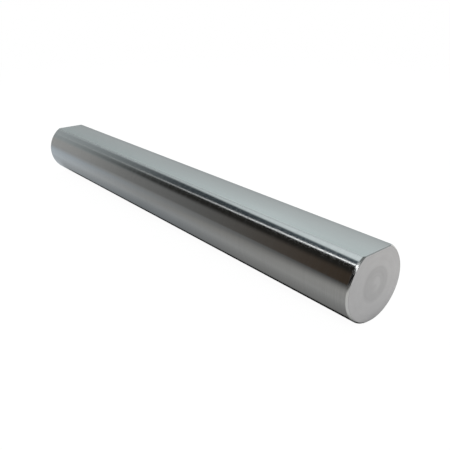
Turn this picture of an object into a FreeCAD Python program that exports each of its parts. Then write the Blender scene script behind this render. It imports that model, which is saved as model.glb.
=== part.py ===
# Rotary shaft: a straight round steel bar, ground on its round, with one flat
# along its whole length and both ends faced and chamfered.
# X runs along the axis, the flat faces +Z, and the origin is on the axis at mid-length.
import FreeCAD
import Part
import Sketcher

import os

# Driving dimensions in millimetres: alias, value, what it measures.
dimensions = [
    ("shaft_diameter", "19.05", "diameter of the ground round"),
    ("shaft_length", "152.4", "length over both end faces"),
    ("end_chamfer", "0.4", "45 degree chamfer round each end"),
    ("flat_depth", "1.35", "depth of the flat below the round"),
    ("flat_edge_break", "0.15", "45 degree break where the flat meets each end face"),
]

# A sketch's own axes and origin, as its constraints number them.
sketch_axis = {"horizontal": -1, "vertical": -2}
sketch_origin = (-1, 1)


def make_sheet(doc):
    sheet = doc.addObject("Spreadsheet::Sheet", "Sizes")
    for row, (alias, value, note) in enumerate(dimensions, start=1):
        sheet.set(f"A{row}", alias)
        sheet.set(f"B{row}", value)
        sheet.set(f"C{row}", note)
        sheet.setAlias(f"B{row}", alias)
    doc.recompute()
    return sheet


def origin_feature(body, role):
    return next(item for item in body.Origin.OriginFeatures if item.Role == role)


# The two ends of a line in a sketch, as its constraints number them.
def start_of(line):
    return (line, 1)


def end_of(line):
    return (line, 2)


# A sketch seen from the side of the bar: its x is the bar's axis, its y is up.
def side_view_sketch(body, name):
    sketch = body.newObject("Sketcher::SketchObject", name)
    sketch.AttachmentSupport = [(origin_feature(body, "XZ_Plane"), "")]
    sketch.MapMode = "FlatFace"
    return sketch


# A closed outline of straight lines: line n starts at corner n.
def add_outline(sketch, corners):
    count = len(corners)
    for number in range(count):
        first = FreeCAD.Vector(*corners[number], 0)
        second = FreeCAD.Vector(*corners[(number + 1) % count], 0)
        sketch.addGeometry(Part.LineSegment(first, second), False)
    for number in range(count):
        following = (number + 1) % count
        sketch.addConstraint(
            Sketcher.Constraint("Coincident", *end_of(number), *start_of(following))
        )


def mirror_corners(sketch, left, right):
    middle = sketch_axis["vertical"]
    sketch.addConstraint(
        Sketcher.Constraint("Symmetric", *start_of(left), *start_of(right), middle)
    )


# A dimension between two points of a sketch, bound to the sheet.
def drive(sketch, name, kind, first, second, expression):
    value = sketch.evalExpression(expression)
    number = sketch.addConstraint(Sketcher.Constraint(kind, *first, *second, value))
    sketch.renameConstraint(number, name)
    sketch.setExpression(f"Constraints.{name}", expression)


# Half of the bar's long section, from the axis out to the round, chamfers included.
def turned_bar(body, sheet):
    radius = sheet.shaft_diameter / 2
    half_length = sheet.shaft_length / 2
    chamfer = sheet.end_chamfer

    sketch = side_view_sketch(body, "BarSection")
    add_outline(sketch, [
        (-half_length, 0),
        (-half_length, radius - chamfer),
        (-half_length + chamfer, radius),
        (half_length - chamfer, radius),
        (half_length, radius - chamfer),
        (half_length, 0),
    ])
    left_axis, left_face, left_round, right_round, right_face, right_axis = range(6)

    sketch.addConstraint(Sketcher.Constraint(
        "Symmetric", *start_of(left_axis), *start_of(right_axis), *sketch_origin))
    sketch.addConstraint(Sketcher.Constraint(
        "PointOnObject", *start_of(left_axis), sketch_axis["horizontal"]))
    sketch.addConstraint(Sketcher.Constraint("Vertical", left_axis))
    sketch.addConstraint(Sketcher.Constraint("Vertical", right_face))
    mirror_corners(sketch, left_round, right_round)
    sketch.addConstraint(Sketcher.Constraint(
        "Horizontal", *start_of(left_face), *start_of(right_face)))
    drive(sketch, "length", "DistanceX",
          start_of(left_axis), start_of(right_axis), "Sizes.shaft_length")
    drive(sketch, "radius", "DistanceY",
          sketch_origin, start_of(right_round), "Sizes.shaft_diameter / 2")
    drive(sketch, "chamfer_along", "DistanceX",
          start_of(right_round), start_of(right_face), "Sizes.end_chamfer")
    drive(sketch, "chamfer_in", "DistanceY",
          start_of(right_face), start_of(right_round), "Sizes.end_chamfer")

    bar = body.newObject("PartDesign::Revolution", "TurnedBar")
    bar.Profile = sketch
    bar.ReferenceAxis = (origin_feature(body, "X_Axis"), [""])
    bar.Angle = 360
    return bar


# The cutter's outline over the flat: it runs level along the bar, and dips at
# each end to break the corner between the flat and the end face.
def flat_cut(body, sheet):
    radius = sheet.shaft_diameter / 2
    half_length = sheet.shaft_length / 2
    edge_break = sheet.flat_edge_break
    over_run = sheet.flat_depth
    height = radius - sheet.flat_depth

    sketch = side_view_sketch(body, "FlatOutline")
    add_outline(sketch, [
        (-half_length - over_run, height - edge_break - over_run),
        (-half_length + edge_break, height),
        (half_length - edge_break, height),
        (half_length + over_run, height - edge_break - over_run),
        (half_length + over_run, radius + over_run),
        (-half_length - over_run, radius + over_run),
    ])
    left_dip, left_flat, right_flat, right_dip, right_top, left_top = range(6)

    mirror_corners(sketch, left_flat, right_flat)
    mirror_corners(sketch, left_dip, right_dip)
    mirror_corners(sketch, left_top, right_top)
    sketch.addConstraint(Sketcher.Constraint("Vertical", right_dip))
    drive(sketch, "flat_height", "DistanceY",
          sketch_origin, start_of(right_flat), "Sizes.shaft_diameter / 2 - Sizes.flat_depth")
    drive(sketch, "flat_length", "DistanceX",
          start_of(left_flat), start_of(right_flat),
          "Sizes.shaft_length - 2 * Sizes.flat_edge_break")
    drive(sketch, "dip_along", "DistanceX",
          start_of(right_flat), start_of(right_dip),
          "Sizes.flat_edge_break + Sizes.flat_depth")
    drive(sketch, "dip_down", "DistanceY",
          start_of(right_dip), start_of(right_flat),
          "Sizes.flat_edge_break + Sizes.flat_depth")
    drive(sketch, "top_height", "DistanceY",
          sketch_origin, start_of(right_top), "Sizes.shaft_diameter / 2 + Sizes.flat_depth")

    cut = body.newObject("PartDesign::Pocket", "Flat")
    cut.Profile = sketch
    cut.Type = "ThroughAll"
    cut.SideType = "Symmetric"
    return cut


def check_document(doc):
    for item in doc.Objects:
        if "Invalid" in item.State or "Error" in item.State:
            raise RuntimeError(f"{item.Label} did not build: {item.State}")
        if item.TypeId == "Sketcher::SketchObject" and not item.FullyConstrained:
            raise RuntimeError(f"{item.Label} is not fully constrained")


def check_shaft(shaft, bar):
    if shaft.Shape.isNull() or not shaft.Shape.isValid() or len(shaft.Shape.Solids) != 1:
        raise RuntimeError("the shaft is not one valid solid")
    if shaft.Shape.Volume >= bar.Shape.Volume:
        raise RuntimeError("the flat took nothing off the bar")


doc = FreeCAD.newDocument("rotary_shaft")
sheet = make_sheet(doc)

shaft = doc.addObject("PartDesign::Body", "Shaft")
shaft.Label = "rotary_shaft"
shaft.Placement = FreeCAD.Placement()
bar = turned_bar(shaft, sheet)
flat_cut(shaft, sheet)
doc.recompute()

check_document(doc)
check_shaft(shaft, bar)

os.makedirs("parts", exist_ok=True)
shaft.Shape.exportStep(f"parts/{shaft.Label}.step")

box = shaft.Shape.BoundBox
print(f"{shaft.Label}: {box.XLength:.3f} x {box.YLength:.3f} x {box.ZLength:.3f} mm, "
      f"{shaft.Shape.Volume:.1f} cubic mm")
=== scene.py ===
import math

import bpy
from mathutils import Matrix, Vector


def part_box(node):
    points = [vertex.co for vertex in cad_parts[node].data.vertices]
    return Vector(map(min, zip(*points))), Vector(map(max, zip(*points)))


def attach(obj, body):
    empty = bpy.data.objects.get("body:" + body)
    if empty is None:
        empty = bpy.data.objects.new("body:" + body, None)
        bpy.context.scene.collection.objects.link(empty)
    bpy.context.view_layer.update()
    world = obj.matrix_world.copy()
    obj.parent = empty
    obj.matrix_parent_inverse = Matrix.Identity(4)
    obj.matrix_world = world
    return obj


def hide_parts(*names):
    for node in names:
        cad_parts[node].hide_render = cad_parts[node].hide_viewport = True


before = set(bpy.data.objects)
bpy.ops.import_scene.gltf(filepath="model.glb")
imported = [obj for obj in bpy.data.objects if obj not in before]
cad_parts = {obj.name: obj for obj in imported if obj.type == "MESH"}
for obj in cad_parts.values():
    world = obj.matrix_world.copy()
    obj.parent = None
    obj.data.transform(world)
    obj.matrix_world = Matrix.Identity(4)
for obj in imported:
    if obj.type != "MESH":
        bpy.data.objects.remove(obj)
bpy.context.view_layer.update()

# Rotary shaft of ground steel: a D-shaped bar, axis along X, flat upwards.
# Everything is in metres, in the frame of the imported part.

mm = 0.001
nodeName = "rotary_shaft"
boxLow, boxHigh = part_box(nodeName)

shaft = {
    "length": boxHigh.x - boxLow.x,
    "radius": (boxHigh.y - boxLow.y) / 2,
    "flatHeight": boxHigh.z,
    "chamfer": 0.4 * mm,       # 45 degrees, round each end
    "edgeBreak": 0.15 * mm,    # where the flat meets an end face
    "segments": 248,           # sides of the round, a number that leaves no sliver at the flat
    "longEdge": 0.1 * mm,      # stoned corner along the flat's two long edges
    "longEdgeSteps": 3,
    "softEdge": 0.02 * mm,     # stoned corner along every other edge
    "softSteps": 2,
    "creaseAngle": 15,         # degrees: what is sharper than this counts as an edge
    "near": 0.01 * mm,         # points this close to a line or plane count as on it
    "cutNear": 0.00001 * mm,   # the same for a cut, where it has to be finer
    "weld": 0.01 * mm,         # points this close after the cuts become one
    "endNormal": 0.9,          # an end face points along X at least this much
    "flatNormal": 0.999,       # and the flat along Z
}
shaft["flatHalf"] = math.sqrt(shaft["radius"] ** 2 - shaft["flatHeight"] ** 2)

facing = {
    "rings": 12,               # pairs of tool marks from the chamfer to the dish
    "groove": 0.003 * mm,      # depth of each mark below the face
    "dishRadius": 4.3 * mm,    # the middle is dished where the cut-off was dressed
    "dishDepth": 0.03 * mm,
    "pipRadius": 1.9 * mm,     # and a low disc stands in the dish
    "pipHeight": 0.015 * mm,
    "slopeShare": 0.25,        # share of the way from rim to disc that each slope takes
}

cameraSetup = {
    "place": (136.73 * mm, -91.13 * mm, 59.60 * mm),
    "yaw": 140.976,            # degrees round Z from +X
    "pitch": -23.379,
    "roll": -0.554,
    "lens": 43.743,
    "sensor": 36,
    "clipNear": 0.001,
    "clipFar": 50,
}


def setMode(mode):
    bpy.ops.object.mode_set(mode=mode)


def deselectAll():
    if bpy.context.object and bpy.context.object.mode == "EDIT":
        setMode("OBJECT")
    bpy.ops.object.select_all(action="DESELECT")


def pickFaces(piece, test):  # leaves the faces that pass the test selected, in edit mode
    setMode("EDIT")
    bpy.ops.mesh.select_mode(type="FACE")
    bpy.ops.mesh.select_all(action="DESELECT")
    setMode("OBJECT")
    for face in piece.data.polygons:
        face.select = test(face)
    setMode("EDIT")


def pickEdges(piece, test):  # the same for edges, the test gets both ends
    setMode("EDIT")
    bpy.ops.mesh.select_mode(type="EDGE")
    bpy.ops.mesh.select_all(action="DESELECT")
    setMode("OBJECT")
    points = piece.data.vertices
    for edge in piece.data.edges:
        first, second = edge.vertices
        edge.select = test(points[first].co, points[second].co)
    setMode("EDIT")


# Camera where the photograph was taken from
def makeCamera():
    camera = bpy.data.cameras.new("camera")
    camera.lens = cameraSetup["lens"]
    camera.sensor_width = cameraSetup["sensor"]
    camera.clip_start = cameraSetup["clipNear"]
    camera.clip_end = cameraSetup["clipFar"]
    rig = bpy.data.objects.new("camera", camera)
    bpy.context.scene.collection.objects.link(rig)
    yaw = math.radians(cameraSetup["yaw"])
    pitch = math.radians(cameraSetup["pitch"])
    level = math.cos(pitch)
    sight = Vector((level * math.cos(yaw), level * math.sin(yaw), math.sin(pitch)))
    turn = sight.to_track_quat("-Z", "Y").to_matrix().to_4x4()
    roll = Matrix.Rotation(math.radians(cameraSetup["roll"]), 4, "Z")
    rig.matrix_world = Matrix.Translation(cameraSetup["place"]) @ turn @ roll
    bpy.context.scene.camera = rig
    print("camera set")


# Turned bar, both ends chamfered and faced
def turnBar():
    deselectAll()
    bpy.ops.mesh.primitive_cylinder_add(
        vertices=shaft["segments"], radius=shaft["radius"], depth=shaft["length"],
        end_fill_type="NGON", location=(0, 0, 0), rotation=(0, math.radians(90), 0))
    bar = bpy.context.object
    bar.name = "groundShaft"
    bpy.ops.object.transform_apply(location=True, rotation=True, scale=True)
    half = shaft["length"] / 2
    near = shaft["near"]
    pickEdges(bar, lambda a, b: abs(abs(a.x) - half) < near and abs(a.x - b.x) < near)
    bpy.ops.mesh.bevel(offset=shaft["chamfer"], offset_type="OFFSET", segments=1)

    pickFaces(bar, lambda face: abs(face.normal.x) > shaft["endNormal"])
    faceRadius = shaft["radius"] - shaft["chamfer"]
    step = (faceRadius - facing["dishRadius"]) / facing["rings"] / 2
    for ring in range(facing["rings"]):
        bpy.ops.mesh.inset(thickness=step, depth=-facing["groove"])
        bpy.ops.mesh.inset(thickness=step, depth=facing["groove"])
    toDisc = facing["dishRadius"] - facing["pipRadius"]
    slope = toDisc * facing["slopeShare"]
    bpy.ops.mesh.inset(thickness=slope, depth=-facing["dishDepth"])
    bpy.ops.mesh.inset(thickness=toDisc - 2 * slope, depth=0)
    bpy.ops.mesh.inset(thickness=slope, depth=facing["pipHeight"])
    bpy.ops.mesh.inset(thickness=facing["pipRadius"] / 2, depth=0)
    setMode("OBJECT")
    print("bar turned:", len(bar.data.polygons), "faces")
    return bar


# The flat, and the break where it meets each end face
def grindFlat(bar):
    half = shaft["length"] / 2
    height = shaft["flatHeight"]
    near = shaft["near"]
    setMode("EDIT")
    bpy.ops.mesh.select_mode(type="FACE")
    bpy.ops.mesh.select_all(action="SELECT")
    bpy.ops.mesh.bisect(plane_co=(0, 0, height), plane_no=(0, 0, 1),
                        threshold=shaft["cutNear"], use_fill=True, clear_outer=True)
    for side in (-1, 1):
        bpy.ops.mesh.select_all(action="SELECT")
        bpy.ops.mesh.bisect(plane_co=(side * (half - shaft["edgeBreak"]), 0, height),
                            plane_no=(side, 0, 1),
                            threshold=shaft["cutNear"], use_fill=True, clear_outer=True)
    setMode("OBJECT")
    pickEdges(bar, lambda a, b: abs(a.z - height) < near and abs(b.z - height) < near
              and abs(a.y - b.y) < near and abs(a.y) > shaft["flatHalf"] / 2)
    bpy.ops.mesh.bevel(offset=shaft["longEdge"], offset_type="OFFSET",
                       segments=shaft["longEdgeSteps"])
    bpy.ops.mesh.select_mode(type="VERT")
    bpy.ops.mesh.select_all(action="SELECT")
    bpy.ops.mesh.remove_doubles(threshold=shaft["weld"])
    setMode("OBJECT")
    print("flat ground")


def softenEdges(bar):
    soft = bar.modifiers.new("softEdge", "BEVEL")
    soft.width = shaft["softEdge"]
    soft.segments = shaft["softSteps"]
    soft.limit_method = "ANGLE"
    soft.angle_limit = math.radians(shaft["creaseAngle"])
    soft.use_clamp_overlap = True
    even = bar.modifiers.new("evenShade", "WEIGHTED_NORMAL")
    even.mode = "FACE_AREA"
    bpy.context.view_layer.objects.active = bar
    bar.select_set(True)
    bpy.ops.object.shade_smooth()
    bpy.ops.object.modifier_apply(modifier=soft.name)
    bpy.ops.object.modifier_apply(modifier=even.name)
    print("edges softened:", len(bar.data.polygons), "faces")


# Small helpers for node trees: wherever a value goes in, another node's output may too
white = (1, 1, 1, 1)
noiseSpan = (0.3, 0.7)         # nearly all of a noise texture lies between these


def addNode(tree, kind, **settings):
    made = tree.nodes.new(kind)
    for name, value in settings.items():
        setattr(made, name, value)
    return made


def feed(tree, socket, value):
    if isinstance(value, bpy.types.NodeSocket):
        tree.links.new(value, socket)
    else:
        socket.default_value = value


def mathOf(tree, operation, *values):
    made = addNode(tree, "ShaderNodeMath", operation=operation)
    for socket, value in zip(made.inputs, values):
        feed(tree, socket, value)
    return made.outputs[0]


def times(tree, first, *others):
    for value in others:
        first = mathOf(tree, "MULTIPLY", first, value)
    return first


def plus(tree, first, second):
    return mathOf(tree, "ADD", first, second)


def minus(tree, first, second):
    return mathOf(tree, "SUBTRACT", first, second)


def over(tree, first, second):
    return mathOf(tree, "DIVIDE", first, second)


def larger(tree, first, second):
    return mathOf(tree, "MAXIMUM", first, second)


def rangeOf(tree, value, fromLow, fromHigh, toLow, toHigh, smooth=True):
    made = addNode(tree, "ShaderNodeMapRange",
                   interpolation_type="SMOOTHSTEP" if smooth else "LINEAR")
    feed(tree, made.inputs["Value"], value)
    for name, number in (("From Min", fromLow), ("From Max", fromHigh),
                         ("To Min", toLow), ("To Max", toHigh)):
        feed(tree, made.inputs[name], number)
    return made.outputs["Result"]


def fromNoise(tree, noise, low, high, smooth=True):  # the noise drawn out from low to high
    return rangeOf(tree, noise, *noiseSpan, low, high, smooth)


def mixColour(tree, factor, first, second, blend="MIX"):
    made = addNode(tree, "ShaderNodeMix", data_type="RGBA", blend_type=blend)
    feed(tree, made.inputs["Factor"], factor)
    feed(tree, made.inputs["A"], first)
    feed(tree, made.inputs["B"], second)
    return made.outputs["Result"]


def toned(tree, colour, tone):
    return mixColour(tree, 1, colour, tone, "MULTIPLY")


def noiseOf(tree, vector, scale=1.0, detail=2.0, rough=0.5):
    made = addNode(tree, "ShaderNodeTexNoise", noise_dimensions="3D")
    tree.links.new(vector, made.inputs["Vector"])
    made.inputs["Scale"].default_value = scale
    made.inputs["Detail"].default_value = detail
    made.inputs["Roughness"].default_value = rough
    return made.outputs["Fac"]


def partsOf(tree, place):  # X, Y and Z of a position or direction
    parts = addNode(tree, "ShaderNodeSeparateXYZ")
    tree.links.new(place, parts.inputs[0])
    return parts.outputs


def piecePlace(tree):  # position on the piece, whole and as its X, Y and Z
    place = addNode(tree, "ShaderNodeTexCoord").outputs["Object"]
    return place, partsOf(tree, place)


# Shader groups that the finishes share. Inputs and outputs: the label and kind of each
def newGroup(name, inputs, outputs):
    group = bpy.data.node_groups.new(name, "ShaderNodeTree")
    for direction, sockets in (("INPUT", inputs), ("OUTPUT", outputs)):
        for label, kind in sockets.items():
            group.interface.new_socket(
                name=label, in_out=direction, socket_type="NodeSocket" + kind)
    given = addNode(group, "NodeGroupInput").outputs
    result = addNode(group, "NodeGroupOutput").inputs
    return group, given, result


# Marks of a wheel or tool: fine lines side by side, grouped in wider bands
markLook = {
    "lineDetail": 3.0,
    "bandDetail": 2.0,
    "bandPitch": 11.0,         # a band is this many lines wide
    "rough": 0.6,
}


def toolMarks():
    group, given, result = newGroup(
        "toolMarks",
        {"Across": "Float", "Along": "Vector", "Pitch": "Float", "Waver": "Float"},
        {"Lines": "Float", "Bands": "Float"})
    slow = addNode(group, "ShaderNodeVectorMath", operation="SCALE")
    group.links.new(given["Along"], slow.inputs[0])
    group.links.new(given["Waver"], slow.inputs["Scale"])
    slowParts = partsOf(group, slow.outputs[0])
    for label, wider, detail in (("Lines", 1.0, markLook["lineDetail"]),
                                 ("Bands", markLook["bandPitch"], markLook["bandDetail"])):
        place = addNode(group, "ShaderNodeCombineXYZ")
        pitch = times(group, given["Pitch"], wider)
        feed(group, place.inputs["X"], over(group, given["Across"], pitch))
        for axis in "YZ":
            feed(group, place.inputs[axis], over(group, slowParts[axis], wider))
        feed(group, result[label],
             noiseOf(group, place.outputs[0], detail=detail, rough=markLook["rough"]))
    return group


# Uneven tone of bare steel: soft clouds, long or round by the stretch
cloudLook = {
    "detail": 3.0,
    "middle": 0.5,             # of the noise, where the tone stays as it is
    "swing": 2.0,              # so that a contrast of 1 would take the tone to 0 and 2
}


def steelClouds():
    group, given, result = newGroup(
        "steelClouds",
        {"Position": "Vector", "Stretch": "Vector", "Size": "Float", "Contrast": "Float"},
        {"Tone": "Float"})
    shaped = addNode(group, "ShaderNodeVectorMath", operation="DIVIDE")
    group.links.new(given["Position"], shaped.inputs[0])
    group.links.new(given["Stretch"], shaped.inputs[1])
    sized = addNode(group, "ShaderNodeVectorMath", operation="SCALE")
    group.links.new(shaped.outputs[0], sized.inputs[0])
    group.links.new(over(group, 1.0, given["Size"]), sized.inputs["Scale"])
    cloud = noiseOf(group, sized.outputs[0], detail=cloudLook["detail"])
    cloud = minus(group, cloud, cloudLook["middle"])
    swing = times(group, cloud, cloudLook["swing"], given["Contrast"])
    feed(group, result["Tone"], plus(group, 1.0, swing))
    return group


# A band beside an edge, full on the edge, gone past the width, a little ragged: rubbed wear on
# the round, a painted shadow line on the flat, darker on the ends
wearAndShadeLook = {
    "scale": 2600.0,           # how fine the raggedness is, per metre
    "least": 0.45,             # it reaches from this share of the width
    "most": 1.25,              # to this one
    "full": 0.35,              # and is full over this share of its reach
}


def edgeWearAndShade():
    group, given, result = newGroup(
        "edgeWearAndShade",
        {"Distance": "Float", "Width": "Float", "Position": "Vector"},
        {"Mask": "Float"})
    ragged = fromNoise(group, noiseOf(group, given["Position"], scale=wearAndShadeLook["scale"]),
                       wearAndShadeLook["least"], wearAndShadeLook["most"])
    reach = times(group, given["Width"], ragged)
    share = over(group, mathOf(group, "ABSOLUTE", given["Distance"]), reach)
    feed(group, result["Mask"], rangeOf(group, share, wearAndShadeLook["full"], 1.0, 1, 0))
    return group


groups = {}                    # by name, once they are built


def useGroup(tree, name, **values):
    made = addNode(tree, "ShaderNodeGroup", node_tree=groups[name])
    for label, value in values.items():
        feed(tree, made.inputs[label], value)
    return made.outputs


# What every finish does with its own values
def newSteel(name):
    material = bpy.data.materials.new(name)
    material.use_nodes = True
    tree = material.node_tree
    shader = tree.nodes["Principled BSDF"]
    shader.inputs["Metallic"].default_value = 1
    return material, tree, shader


def marksOn(tree, finish, across, place):
    return useGroup(tree, "toolMarks", Across=across, Along=place,
                    Pitch=finish["pitch"], Waver=finish["waver"])


def cloudsOn(tree, finish, place):
    return useGroup(tree, "steelClouds", Position=place, Stretch=finish["cloudStretch"],
                    Size=finish["cloudSize"], Contrast=finish["cloudTone"])["Tone"]


def wearAndShadeOn(tree, finish, distance, place):
    return useGroup(tree, "edgeWearAndShade", Distance=distance, Position=place,
                    Width=finish["wearAndShadeWidth"])["Mask"]


def lineTone(tree, finish, marks):  # the lines darken the steel a little
    return fromNoise(tree, marks["Lines"], 1 - finish["lineTone"], 1, smooth=False)


def bandRoughness(tree, finish, marks):  # and the bands blur it
    least = finish["roughness"]
    return fromNoise(tree, marks["Bands"], least, least + finish["bandRoughness"])


def addMasks(tree, tone, masks):  # each mask times its amount goes on top of the tone
    for mask, amount in masks:
        tone = plus(tree, tone, times(tree, mask, amount))
    return tone


def paintSteel(tree, shader, finish, tone):
    feed(tree, shader.inputs["Base Color"], toned(tree, finish["colour"], tone))


def cutRelief(tree, shader, finish, marks):
    bump = addNode(tree, "ShaderNodeBump")
    feed(tree, bump.inputs["Height"], marks["Lines"])
    bump.inputs["Distance"].default_value = finish["depth"]
    tree.links.new(bump.outputs["Normal"], shader.inputs["Normal"])


def grainDirection(tree, shader, finish, axis):  # draws the highlight out square to the marks
    shader.inputs["Anisotropic"].default_value = finish["anisotropy"]
    along = addNode(tree, "ShaderNodeCombineXYZ")
    along.inputs[axis].default_value = 1
    turned = addNode(tree, "ShaderNodeVectorTransform", vector_type="VECTOR",
                     convert_from="OBJECT", convert_to="WORLD")
    tree.links.new(along.outputs[0], turned.inputs[0])
    tree.links.new(turned.outputs[0], shader.inputs["Tangent"])


# Steel of the round: the wheel's marks run round the bar, so it blurs along the axis
roundFinish = {
    "colour": (0.615, 0.62, 0.615, 1),
    "roughness": 0.115,
    "anisotropy": 0.5,
    "pitch": 0.11 * mm,
    "waver": 70,               # how fast the marks change round the bar, per metre
    "depth": 0.0003 * mm,
    "bandRoughness": 0.05,
    "lineTone": 0.09,
    "cloudSize": 9 * mm,
    "cloudStretch": (3, 1, 1),
    "cloudTone": 0.035,
    "wearAndShadeWidth": 0.35 * mm,
    "wearAndShadeTone": 0.05,
    "rubRoughness": 0.12,
}


def roundSteel():
    material, tree, shader = newSteel("groundRound")
    place, at = piecePlace(tree)
    marks = marksOn(tree, roundFinish, at["X"], place)
    clouds = cloudsOn(tree, roundFinish, place)
    fromFlat = minus(tree, at["Z"], shaft["flatHeight"])
    fromEnd = minus(tree, mathOf(tree, "ABSOLUTE", at["X"]),
                    shaft["length"] / 2 - shaft["chamfer"])
    wearAndShade = larger(tree, wearAndShadeOn(tree, roundFinish, fromFlat, place),
                 wearAndShadeOn(tree, roundFinish, fromEnd, place))

    tone = times(tree, lineTone(tree, roundFinish, marks), clouds)
    tone = addMasks(tree, tone, ((wearAndShade, roundFinish["wearAndShadeTone"]),))
    paintSteel(tree, shader, roundFinish, tone)
    rough = addMasks(tree, bandRoughness(tree, roundFinish, marks),
                     ((wearAndShade, roundFinish["rubRoughness"]),))
    feed(tree, shader.inputs["Roughness"], rough)
    cutRelief(tree, shader, roundFinish, marks)
    grainDirection(tree, shader, roundFinish, "X")
    return material


# Steel of the flat: ground lengthwise, milkier than the round, with painted light along one edge,
# painted shade along the other, and darker towards the near end
flatFinish = {
    "colour": (0.80, 0.793, 0.78, 1),
    "roughness": 0.33,
    "anisotropy": 0.7,
    "pitch": 0.16 * mm,
    "waver": 9,
    "depth": 0.0008 * mm,
    "bandRoughness": 0.06,
    "lineTone": 0.09,
    "cloudSize": 5 * mm,
    "cloudStretch": (5, 1, 1),
    "cloudTone": 0.05,
    "paintedLightTone": 0.30,         # painted light: lighter and a little green towards the edge at -Y
    "paintedLightTint": (0.955, 1.0, 1.0, 1),
    "lightFrom": 3 * mm,
    "lightFull": -4.4 * mm,
    "lightStart": -50 * mm,    # most of all past the middle
    "lightWhole": 45 * mm,
    "lightEnd": 0.6,           # share of it that is left at the near end
    "farShadeFrom": 2.8 * mm,      # painted shade: darker along the other edge
    "farShadeTone": -0.14,
    "endFrom": -30 * mm,       # and darker towards the near end
    "endTone": 0.8,
    # a thin painted shadow line right on the edge at +Y
    "wearAndShadeWidth": 0.3 * mm,
    "wearAndShadeTone": -0.2,
}


def flatSteel():
    material, tree, shader = newSteel("groundFlat")
    place, at = piecePlace(tree)
    half = shaft["length"] / 2
    marks = marksOn(tree, flatFinish, at["Y"], place)
    clouds = cloudsOn(tree, flatFinish, place)
    along = times(
        tree,
        rangeOf(tree, at["X"], flatFinish["lightStart"], flatFinish["lightWhole"], 0, 1),
        rangeOf(tree, at["X"], flatFinish["lightWhole"], half, 1, flatFinish["lightEnd"]))
    aside = rangeOf(tree, at["Y"], flatFinish["lightFull"], flatFinish["lightFrom"], 1, 0,
                    smooth=False)
    # painted light towards the edge at -Y
    paintedLight = times(tree, along, aside)
    # painted shade along the edge at +Y
    farShade = rangeOf(tree, at["Y"], flatFinish["farShadeFrom"], shaft["flatHalf"], 0, 1)
    # painted shadow line right on the edge at +Y
    wearAndShade = wearAndShadeOn(tree, flatFinish, minus(tree, at["Y"], shaft["flatHalf"]), place)

    tone = times(tree, lineTone(tree, flatFinish, marks), clouds)
    tone = addMasks(tree, tone, ((paintedLight, flatFinish["paintedLightTone"]), (farShade, flatFinish["farShadeTone"]),
                                 (wearAndShade, flatFinish["wearAndShadeTone"])))
    towardEnd = rangeOf(tree, at["X"], flatFinish["endFrom"], half, 1, flatFinish["endTone"],
                        smooth=False)
    tint = mixColour(tree, aside, white, flatFinish["paintedLightTint"])
    tint = toned(tree, tint, times(tree, tone, towardEnd))
    paintSteel(tree, shader, flatFinish, tint)
    feed(tree, shader.inputs["Roughness"], bandRoughness(tree, flatFinish, marks))
    cutRelief(tree, shader, flatFinish, marks)
    grainDirection(tree, shader, flatFinish, "Y")
    return material


# Steel of the ends: faced on the lathe, matt, with rings, a darker dish and a swirl in it
endFinish = {
    "colour": (0.578, 0.572, 0.578, 1),
    "roughness": 0.46,
    "pitch": 0.2 * mm,
    "waver": 90,
    "depth": 0.003 * mm,
    "bandRoughness": 0.08,
    "lineTone": 0.06,
    "bandTone": 0.03,
    "cloudSize": 3 * mm,
    "cloudStretch": (1, 1, 1),
    "cloudTone": 0.06,
    "dishTone": -0.09,
    "dishSoft": 0.6 * mm,
    "pipTone": 0.045,
    "swirlTone": 0.05,
    "swirlTurns": 900,         # how tightly the swirl winds, radians per metre
    "wearAndShadeWidth": 0.3 * mm,      # darker along the rim
    "wearAndShadeTone": -0.12,
}


def endSteel():
    material, tree, shader = newSteel("facedEnd")
    place, at = piecePlace(tree)
    radius = mathOf(tree, "SQRT", plus(tree, times(tree, at["Y"], at["Y"]),
                                       times(tree, at["Z"], at["Z"])))
    marks = marksOn(tree, endFinish, radius, place)
    clouds = cloudsOn(tree, endFinish, place)
    soft = endFinish["dishSoft"]
    inDish, onPip = [rangeOf(tree, radius, facing[edge] - soft, facing[edge] + soft, 1, 0)
                     for edge in ("dishRadius", "pipRadius")]
    turn = plus(tree, mathOf(tree, "ARCTAN2", at["Z"], at["Y"]),
                times(tree, radius, endFinish["swirlTurns"]))
    swirl = times(tree, mathOf(tree, "SINE", turn), onPip)
    fromRim = minus(tree, radius, shaft["radius"] - shaft["chamfer"])
    wearAndShade = wearAndShadeOn(tree, endFinish, fromRim, place)

    bands = fromNoise(tree, marks["Bands"], 1 - endFinish["bandTone"], 1, smooth=False)
    tone = times(tree, clouds, lineTone(tree, endFinish, marks), bands)
    tone = addMasks(tree, tone, ((inDish, endFinish["dishTone"]), (onPip, endFinish["pipTone"]),
                                 (swirl, endFinish["swirlTone"]), (wearAndShade, endFinish["wearAndShadeTone"])))
    paintSteel(tree, shader, endFinish, tone)
    feed(tree, shader.inputs["Roughness"], bandRoughness(tree, endFinish, marks))
    cutRelief(tree, shader, endFinish, marks)
    return material


# Steel of the chamfers and the broken ends of the flat: one light cut, half bright
chamferFinish = {
    "colour": (0.60, 0.605, 0.60, 1),
    "roughness": 0.12,
    "pitch": 0.07 * mm,
    "waver": 120,
    "depth": 0.0003 * mm,
    "bandRoughness": 0.1,
    "lineTone": 0.08,
}


def chamferSteel():
    material, tree, shader = newSteel("turnedChamfer")
    place, at = piecePlace(tree)
    marks = marksOn(tree, chamferFinish, at["X"], place)
    paintSteel(tree, shader, chamferFinish, lineTone(tree, chamferFinish, marks))
    feed(tree, shader.inputs["Roughness"], bandRoughness(tree, chamferFinish, marks))
    cutRelief(tree, shader, chamferFinish, marks)
    return material


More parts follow.
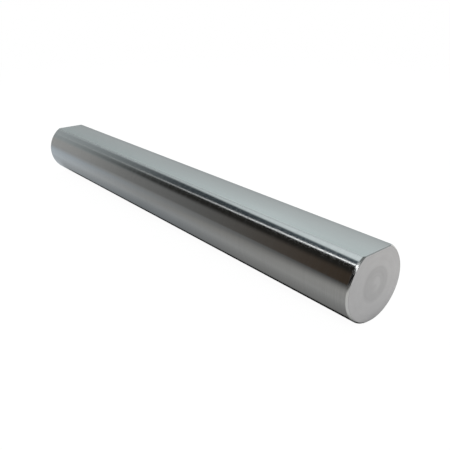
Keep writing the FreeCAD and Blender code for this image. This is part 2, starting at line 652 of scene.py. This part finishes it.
def dressBar(bar):
    groups["toolMarks"] = toolMarks()
    groups["steelClouds"] = steelClouds()
    groups["edgeWearAndShade"] = edgeWearAndShade()
    for material in (roundSteel(), flatSteel(), endSteel(), chamferSteel()):
        bar.data.materials.append(material)
    onRound, onFlat, onEnd, onChamfer = range(4)
    chamferFrom = shaft["length"] / 2 - shaft["chamfer"]
    flatFrom = shaft["flatHeight"] - shaft["near"]
    for face in bar.data.polygons:
        place, normal = face.center, face.normal
        face.material_index = onRound
        if abs(normal.x) > shaft["endNormal"]:
            face.material_index = onEnd
        elif abs(place.x) > chamferFrom:
            face.material_index = onChamfer
        elif normal.z > shaft["flatNormal"] and place.z > flatFrom:
            face.material_index = onFlat
    print("steel on")


# Tone of the paper on the floor, as the steel shows it: a painted reflection, by the place in
# metres from the middle of the shaft, with painted shadow darkest under it, dimmer away from it,
# and painted low light from its far end
paintedPaper = {
    "nearTone": 0.495,         # at the axis
    "nearReach": 0.052,        # and half that this far beside it
    "underFrom": 0.003,        # painted shadow of the shaft on the paper beside it
    "underTo": 0.0165,
    "underTone": 0.255,
    "creviceFrom": 0.0057,     # and more painted shadow where it nearly touches
    "creviceTo": 0.0069,
    "creviceTone": 0.01,
    "pastNearFrom": -0.0005,   # the painted shade ends at the near end, measured from its face
    "pastNearFull": 0.0008,
    "pastFarFrom": 0.0105,     # and most of it at the far end, measured in the same way
    "pastFarFull": -0.0075,
    "pastFarShare": 0.8,
    "nearGain": 0.2,           # painted light: a little lighter beside the near half
    "nearGainFrom": 0.02,
    "nearGainFull": 0.06,
    "lightSlope": 0.213,       # painted low light: it grows with -x over the distance beside
    "lightShift": 0.072,
    "lightStart": 0.18,
    "lightGrow": 0.25,         # near the shaft it grows a little more towards the far end
    "lightGrowFrom": 0.19,
    "lightGrowTo": 0.6,
    "lightGrowWithin": 0.03,
    "lightGrowGone": 0.06,
    "endFrom": 0.0764,         # past the near end the paper is lighter
    "endFull": 0.079,
    "behindFrom": 0.014,       # and behind the shaft
    "behindFull": 0.03,
    "endTone": 0.72,           # on the camera's side of the axis
    "endFar": 0.88,            # and on the other side
    "endToneFrom": -0.01,
    "endFarFrom": 0.035,
    "endAside": -0.03,         # but dim again from here towards -Y
    "endDim": -0.05,
    "endDimShare": 0.15,
    "warm": (1.01, 1.0, 0.975, 1),
    "cool": (0.91, 1.0, 1.08, 1),
    "coolFrom": 0,             # warm near the camera, cool from here to there along X
    "coolFull": -0.1,
    "coolWithin": 0.03,        # less so from here to there beside the shaft
    "coolGone": 0.1,
    "coolLeft": 0.3,
    "coolBeside": 0.8,         # and a little cool close beside the shaft
    "coolBesideFrom": -0.01,   # less so from here to there along X
    "coolBesideGone": 0.05,
    "coolBesideLeft": 0.2,
}


def paintedPaperReflection(tree, x, y):
    half = shaft["length"] / 2
    beside = mathOf(tree, "ABSOLUTE", y)
    near = over(tree, paintedPaper["nearTone"], plus(tree, 1.0, over(tree, beside, paintedPaper["nearReach"])))
    under = rangeOf(tree, beside, paintedPaper["underFrom"], paintedPaper["underTo"], paintedPaper["underTone"], 1,
                    smooth=False)
    crevice = rangeOf(tree, beside, paintedPaper["creviceFrom"], paintedPaper["creviceTo"],
                      paintedPaper["creviceTone"], 1)
    pastNear = rangeOf(tree, x, half + paintedPaper["pastNearFrom"], half + paintedPaper["pastNearFull"], 0, 1)
    pastFar = rangeOf(tree, x, paintedPaper["pastFarFull"] - half, paintedPaper["pastFarFrom"] - half,
                      paintedPaper["pastFarShare"], 0)
    shade = larger(tree, times(tree, under, crevice), larger(tree, pastNear, pastFar))
    gain = times(tree, rangeOf(tree, beside, paintedPaper["underTo"], 2 * paintedPaper["underTo"], 0, 1),
                 rangeOf(tree, x, paintedPaper["nearGainFrom"], paintedPaper["nearGainFull"],
                         0, paintedPaper["nearGain"]))
    near = times(tree, near, shade, plus(tree, 1.0, gain))

    slant = over(tree, times(tree, x, -1.0), plus(tree, beside, paintedPaper["lightShift"]))
    slant = larger(tree, minus(tree, slant, paintedPaper["lightStart"]), 0.0)
    growth = rangeOf(tree, slant, paintedPaper["lightGrowFrom"], paintedPaper["lightGrowTo"],
                     0, paintedPaper["lightGrow"], smooth=False)
    growth = times(tree, growth, rangeOf(
        tree, beside, paintedPaper["lightGrowWithin"], paintedPaper["lightGrowGone"], 1, 0))
    lit = times(tree, slant, paintedPaper["lightSlope"], plus(tree, 1.0, growth),
                mathOf(tree, "SQRT", shade))
    tone = plus(tree, near, lit)

    atEnd = larger(tree, rangeOf(tree, x, paintedPaper["endFrom"], paintedPaper["endFull"], 0, 1),
                   rangeOf(tree, y, paintedPaper["behindFrom"], paintedPaper["behindFull"], 0, 1))
    bright = times(tree, rangeOf(tree, y, paintedPaper["endToneFrom"], paintedPaper["endFarFrom"],
                                 paintedPaper["endTone"], paintedPaper["endFar"]),
                   rangeOf(tree, y, paintedPaper["endDim"], paintedPaper["endAside"], paintedPaper["endDimShare"], 1))
    tone = plus(tree, times(tree, tone, minus(tree, 1.0, atEnd)), times(tree, bright, atEnd))

    coolAlong = times(tree, rangeOf(tree, x, paintedPaper["coolFull"], paintedPaper["coolFrom"], 1, 0,
                                    smooth=False),
                      rangeOf(tree, beside, paintedPaper["coolWithin"], paintedPaper["coolGone"],
                              1, paintedPaper["coolLeft"]))
    coolBeside = times(tree, rangeOf(tree, beside, paintedPaper["underFrom"], 2 * paintedPaper["underTo"],
                                     paintedPaper["coolBeside"], 0),
                       rangeOf(tree, x, paintedPaper["coolBesideFrom"], paintedPaper["coolBesideGone"],
                               1, paintedPaper["coolBesideLeft"]))
    cool = larger(tree, coolAlong, coolBeside)
    return toned(tree, mixColour(tree, cool, paintedPaper["warm"], paintedPaper["cool"]), tone)


# The floor itself: plain and near white to the camera, with a faint shadow
floorLook = {
    "size": 8,
    "glow": 0.96,
    "diffuse": 0.055,
    "plainFrom": 0.12,         # beyond this, in metres, it turns plain white
    "plainFull": 0.45,
}


def makeFloor():
    deselectAll()
    bpy.ops.mesh.primitive_plane_add(size=floorLook["size"], location=(0, 0, boxLow.z))
    floor = bpy.context.object
    floor.name = "floor"
    paint = bpy.data.materials.new("paleFloor")
    paint.use_nodes = True
    tree = paint.node_tree
    tree.nodes.remove(tree.nodes["Principled BSDF"])
    place, at = piecePlace(tree)
    paintedReflection = addNode(tree, "ShaderNodeEmission")
    tree.links.new(paintedPaperReflection(tree, at["X"], at["Y"]), paintedReflection.inputs["Color"])

    away = addNode(tree, "ShaderNodeVectorMath", operation="LENGTH")
    tree.links.new(place, away.inputs[0])
    plain = rangeOf(tree, away.outputs["Value"], floorLook["plainFrom"], floorLook["plainFull"],
                    0, 1)
    matt = addNode(tree, "ShaderNodeBsdfDiffuse")
    tree.links.new(rangeOf(tree, plain, 0, 1, floorLook["diffuse"], 0, smooth=False),
                   matt.inputs["Color"])
    glow = addNode(tree, "ShaderNodeEmission")
    tree.links.new(rangeOf(tree, plain, 0, 1, floorLook["glow"], 1, smooth=False),
                   glow.inputs["Strength"])
    shown = addNode(tree, "ShaderNodeAddShader")
    tree.links.new(matt.outputs[0], shown.inputs[0])
    tree.links.new(glow.outputs[0], shown.inputs[1])
    # Reflection rays see the painted reflection of the paper, the camera sees the plain floor
    path = addNode(tree, "ShaderNodeLightPath")
    choose = addNode(tree, "ShaderNodeMixShader")
    tree.links.new(path.outputs["Is Camera Ray"], choose.inputs[0])
    tree.links.new(paintedReflection.outputs[0], choose.inputs[1])
    tree.links.new(shown.outputs[0], choose.inputs[2])
    tree.links.new(choose.outputs[0], tree.nodes["Material Output"].inputs["Surface"])
    floor.data.materials.append(paint)
    print("floor laid")


# Studio, as the steel reflects it. Every place in it is a direction seen from the shaft:
# x, y and z are parts of a unit vector, and angles are degrees from straight up towards -Y.

# A white wall behind the shaft, and over it as a ceiling
wall = {
    "normal": Vector((0.285, 1.0, 0.55)).normalized(),
    "ceilingNormal": Vector((0.0, 1.0, 0.185)).normalized(),
    "soft": 0.028,
    "nearTone": 0.735,         # over the middle of the room
    "farTone": 0.42,           # and at the far end
    "nearFrom": -0.5,
    "farFrom": -0.9,
    "edgeTone": 0.27,          # added along its edge, over the camera's side
    "edgeFrom": 0.1,
    "edgeFull": -0.15,
    "tint": (0.915, 1.0, 1.02, 1),
    "stops": 0.15,             # how far it reaches to +X
    "fades": 0.4,              # and how much further it takes to fade
}


def wallTone(tree, toward, x, y):  # the wall's colour, and where it is
    sides = []
    for normal in (wall["normal"], wall["ceilingNormal"]):
        side = addNode(tree, "ShaderNodeVectorMath", operation="DOT_PRODUCT")
        tree.links.new(toward, side.inputs[0])
        side.inputs[1].default_value = normal
        sides.append(side.outputs["Value"])
    onWall = rangeOf(tree, larger(tree, *sides), -wall["soft"], wall["soft"], 0, 1)
    reach = rangeOf(tree, x, wall["stops"], wall["stops"] + wall["fades"], 1, 0)
    level = rangeOf(tree, x, wall["farFrom"], wall["nearFrom"],
                    wall["farTone"], wall["nearTone"], smooth=False)
    edge = rangeOf(tree, y, wall["edgeFull"], wall["edgeFrom"], wall["edgeTone"], 0)
    return toned(tree, wall["tint"], plus(tree, level, edge)), times(tree, onWall, reach)


# The dim room in front. What lies towards its far end is given by its -x
room = {
    "dark": (0.018, 0.017, 0.015, 1),
    "farEnd": (0.42, 0.46, 0.47, 1),
    "farFrom": 0.765,
    "farFull": 0.93,
    "farGain": 1.15,           # lighter still at the very end
    "farGainFrom": 0.89,
    "farGainFull": 0.905,
    "beamAngle": 46,           # a darker beam runs along the room here
    "beamReach": 15,
    "beamHides": 0.045,        # it puts off the light of the far end by this much
    "beamFades": 0.87,         # and fades before the end itself
    "beamGone": 0.9,
    "beamLeft": 0.3,
    "between": (0.036, 0.047, 0.055, 1),  # between the wall's edge and the strip light
    "betweenFrom": 36,
    "betweenFull": 28,
    "betweenNear": 1.9,        # and this much lighter towards the near end
    "betweenNearFull": 0.55,
    "betweenNearGone": 0.72,
    "front": (0.17, 0.18, 0.18, 1),       # past the near end
    "frontFrom": 0.2,
    "frontFull": 0.5,
    "lowFrom": 49,             # the lower room, lit from its far end
    "lowFull": 64,
    "lowSide": 0.475,          # it has its tone here, and grows from there
    "lowTone": 0.029,
    "lowGrowth": 5.7,
    "lowEnd": 0.12,            # the far end itself is lighter still
    "lowEndFrom": 0.853,
    "lowEndFull": 0.885,
    "lowWarm": (1.42, 1.0, 0.68, 1),
    "lowCool": (0.99, 1.0, 0.99, 1),
    "lowWarmTo": 0.46,
    "lowCoolFrom": 0.78,
    "glow": (0.62, 0.64, 0.63, 1),        # a low light past the near end, for the end face
    "glowX": (0.15, 0.4),      # it comes up over these spans of x and y
    "glowY": (-0.1, 0.15),
    "glowZ": (0.12, 0.75),     # and fades over this one of z
}


def highRoom(tree, x, back, across):
    fromBeam = mathOf(tree, "ABSOLUTE", minus(tree, across, math.radians(room["beamAngle"])))
    beam = times(tree, rangeOf(tree, fromBeam, 0, math.radians(room["beamReach"]),
                               -room["beamHides"], 0),
                 rangeOf(tree, x, -room["beamGone"], -room["beamFades"], room["beamLeft"], 1))
    atEnd = rangeOf(tree, x, -room["farFull"], minus(tree, beam, room["farFrom"]), 1, 0)
    farEnd = toned(tree, room["farEnd"], rangeOf(
        tree, x, -room["farGainFull"], -room["farGainFrom"], room["farGain"], 1))
    between = rangeOf(tree, across, math.radians(room["betweenFull"]),
                      math.radians(room["betweenFrom"]), 1, 0)
    lifted = toned(tree, room["between"], rangeOf(
        tree, back, room["betweenNearFull"], room["betweenNearGone"], room["betweenNear"], 1))
    inFront = rangeOf(tree, x, room["frontFrom"], room["frontFull"], 0, 1)
    lifted = mixColour(tree, inFront, lifted, room["front"])
    high = mixColour(tree, between, room["dark"], lifted)
    return mixColour(tree, atEnd, high, farEnd)


def lowRoom(tree, back):
    growth = times(tree, minus(tree, back, room["lowSide"]), room["lowGrowth"])
    tone = times(tree, mathOf(tree, "EXPONENT", growth), room["lowTone"])
    tone = plus(tree, tone, rangeOf(
        tree, back, room["lowEndFrom"], room["lowEndFull"], 0, room["lowEnd"]))
    cool = rangeOf(tree, back, room["lowWarmTo"], room["lowCoolFrom"], 0, 1)
    return toned(tree, mixColour(tree, cool, room["lowWarm"], room["lowCool"]), tone)


def roomTone(tree, x, y, z, across):
    back = times(tree, x, -1.0)
    isLow = rangeOf(tree, across, math.radians(room["lowFrom"]),
                    math.radians(room["lowFull"]), 0, 1)
    seen = mixColour(tree, isLow, highRoom(tree, x, back, across), lowRoom(tree, back))
    glow = times(tree, rangeOf(tree, z, *room["glowZ"], 1, 0),
                 rangeOf(tree, x, *room["glowX"], 0, 1), rangeOf(tree, y, *room["glowY"], 0, 1))
    return mixColour(tree, glow, seen, room["glow"])


# A strip light over the shaft's near side
stripLight = {
    "angle": 31.6,
    "drift": -1.35,            # degrees that it is out of line with the shaft
    "width": 2.1,              # degrees
    "soft": 0.5,
    "brightest": 3.2,
    "fullFrom": -0.52,         # brightest for directions with more x than this
    "endsAt": -0.85,
    "farTone": 0.14,           # and this from there to the far end
    "nearGain": 2.2,           # wider and brighter again over the near end
    "nearGainFrom": 0.3,
    "nearGainFull": 0.6,
    "colour": (0.985, 1.0, 1.01, 1),
}


def stripTone(tree, x, across):
    side = mathOf(tree, "SQRT", minus(tree, 1.0, times(tree, x, x)))
    drift = times(tree, over(tree, x, side), math.radians(stripLight["drift"]))
    off = minus(tree, minus(tree, across, drift), math.radians(stripLight["angle"]))
    half = math.radians(stripLight["width"] / 2)
    blur = math.radians(stripLight["soft"])
    wider = rangeOf(tree, x, stripLight["nearGainFrom"], stripLight["nearGainFull"],
                    1, stripLight["nearGain"])
    off = over(tree, mathOf(tree, "ABSOLUTE", off), wider)
    onStrip = times(tree, rangeOf(tree, off, half - blur, half + blur, 1, 0), wider)
    bright = rangeOf(tree, x, stripLight["endsAt"], stripLight["fullFrom"],
                     stripLight["farTone"], stripLight["brightest"], smooth=False)
    return toned(tree, stripLight["colour"], times(tree, onStrip, bright))


def makeWorld():
    world = bpy.data.worlds.new("studio")
    bpy.context.scene.world = world
    world.use_nodes = True
    tree = world.node_tree
    toward = addNode(tree, "ShaderNodeTexCoord").outputs["Generated"]
    x, y, z = partsOf(tree, toward)
    across = mathOf(tree, "ARCTAN2", times(tree, y, -1.0), z)
    wallColour, onWall = wallTone(tree, toward, x, y)
    seen = mixColour(tree, onWall, roomTone(tree, x, y, z, across), wallColour)
    seen = mixColour(tree, 1, seen, stripTone(tree, x, across), "ADD")
    path = addNode(tree, "ShaderNodeLightPath")
    shown = mixColour(tree, path.outputs["Is Camera Ray"], seen, white)
    tree.links.new(shown, tree.nodes["Background"].inputs["Color"])
    bpy.context.scene.view_settings.view_transform = "Standard"
    print("world set")


# Two soft lamps that throw the faint shadow. The steel doesn't show them
floorLamp = {
    "place": (-0.5, 1.1, 1.3),
    "size": 1.2,
    "power": 14,
    "colour": (0.96, 1.0, 1.0),
}

fillLamp = {
    "place": (0.6, -0.6, 0.8),
    "size": 0.5,
    "power": 8,
    "colour": (1.0, 0.99, 0.97),
}


def hangLamp(name, values):  # aimed at the middle of the shaft
    lamp = bpy.data.lights.new(name, "AREA")
    lamp.shape = "RECTANGLE"
    lamp.size = values["size"]
    lamp.size_y = values["size"]
    lamp.energy = values["power"]
    lamp.color = values["colour"]
    rig = bpy.data.objects.new(name, lamp)
    bpy.context.scene.collection.objects.link(rig)
    back = Vector(values["place"])
    up = back.cross(Vector((1, 0, 0))).normalized()
    across = up.cross(back).normalized()
    turn = Matrix((across, up, back.normalized())).transposed().to_4x4()
    rig.matrix_world = Matrix.Translation(values["place"]) @ turn
    rig.visible_camera = False
    rig.visible_glossy = False


def makeLamps():
    hangLamp("floorLamp", floorLamp)
    hangLamp("fillLamp", fillLamp)
    print("lamps on")


makeCamera()
bar = turnBar()
grindFlat(bar)
softenEdges(bar)
dressBar(bar)
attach(bar, "root")
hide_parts(nodeName)
makeFloor()
makeWorld()
makeLamps()
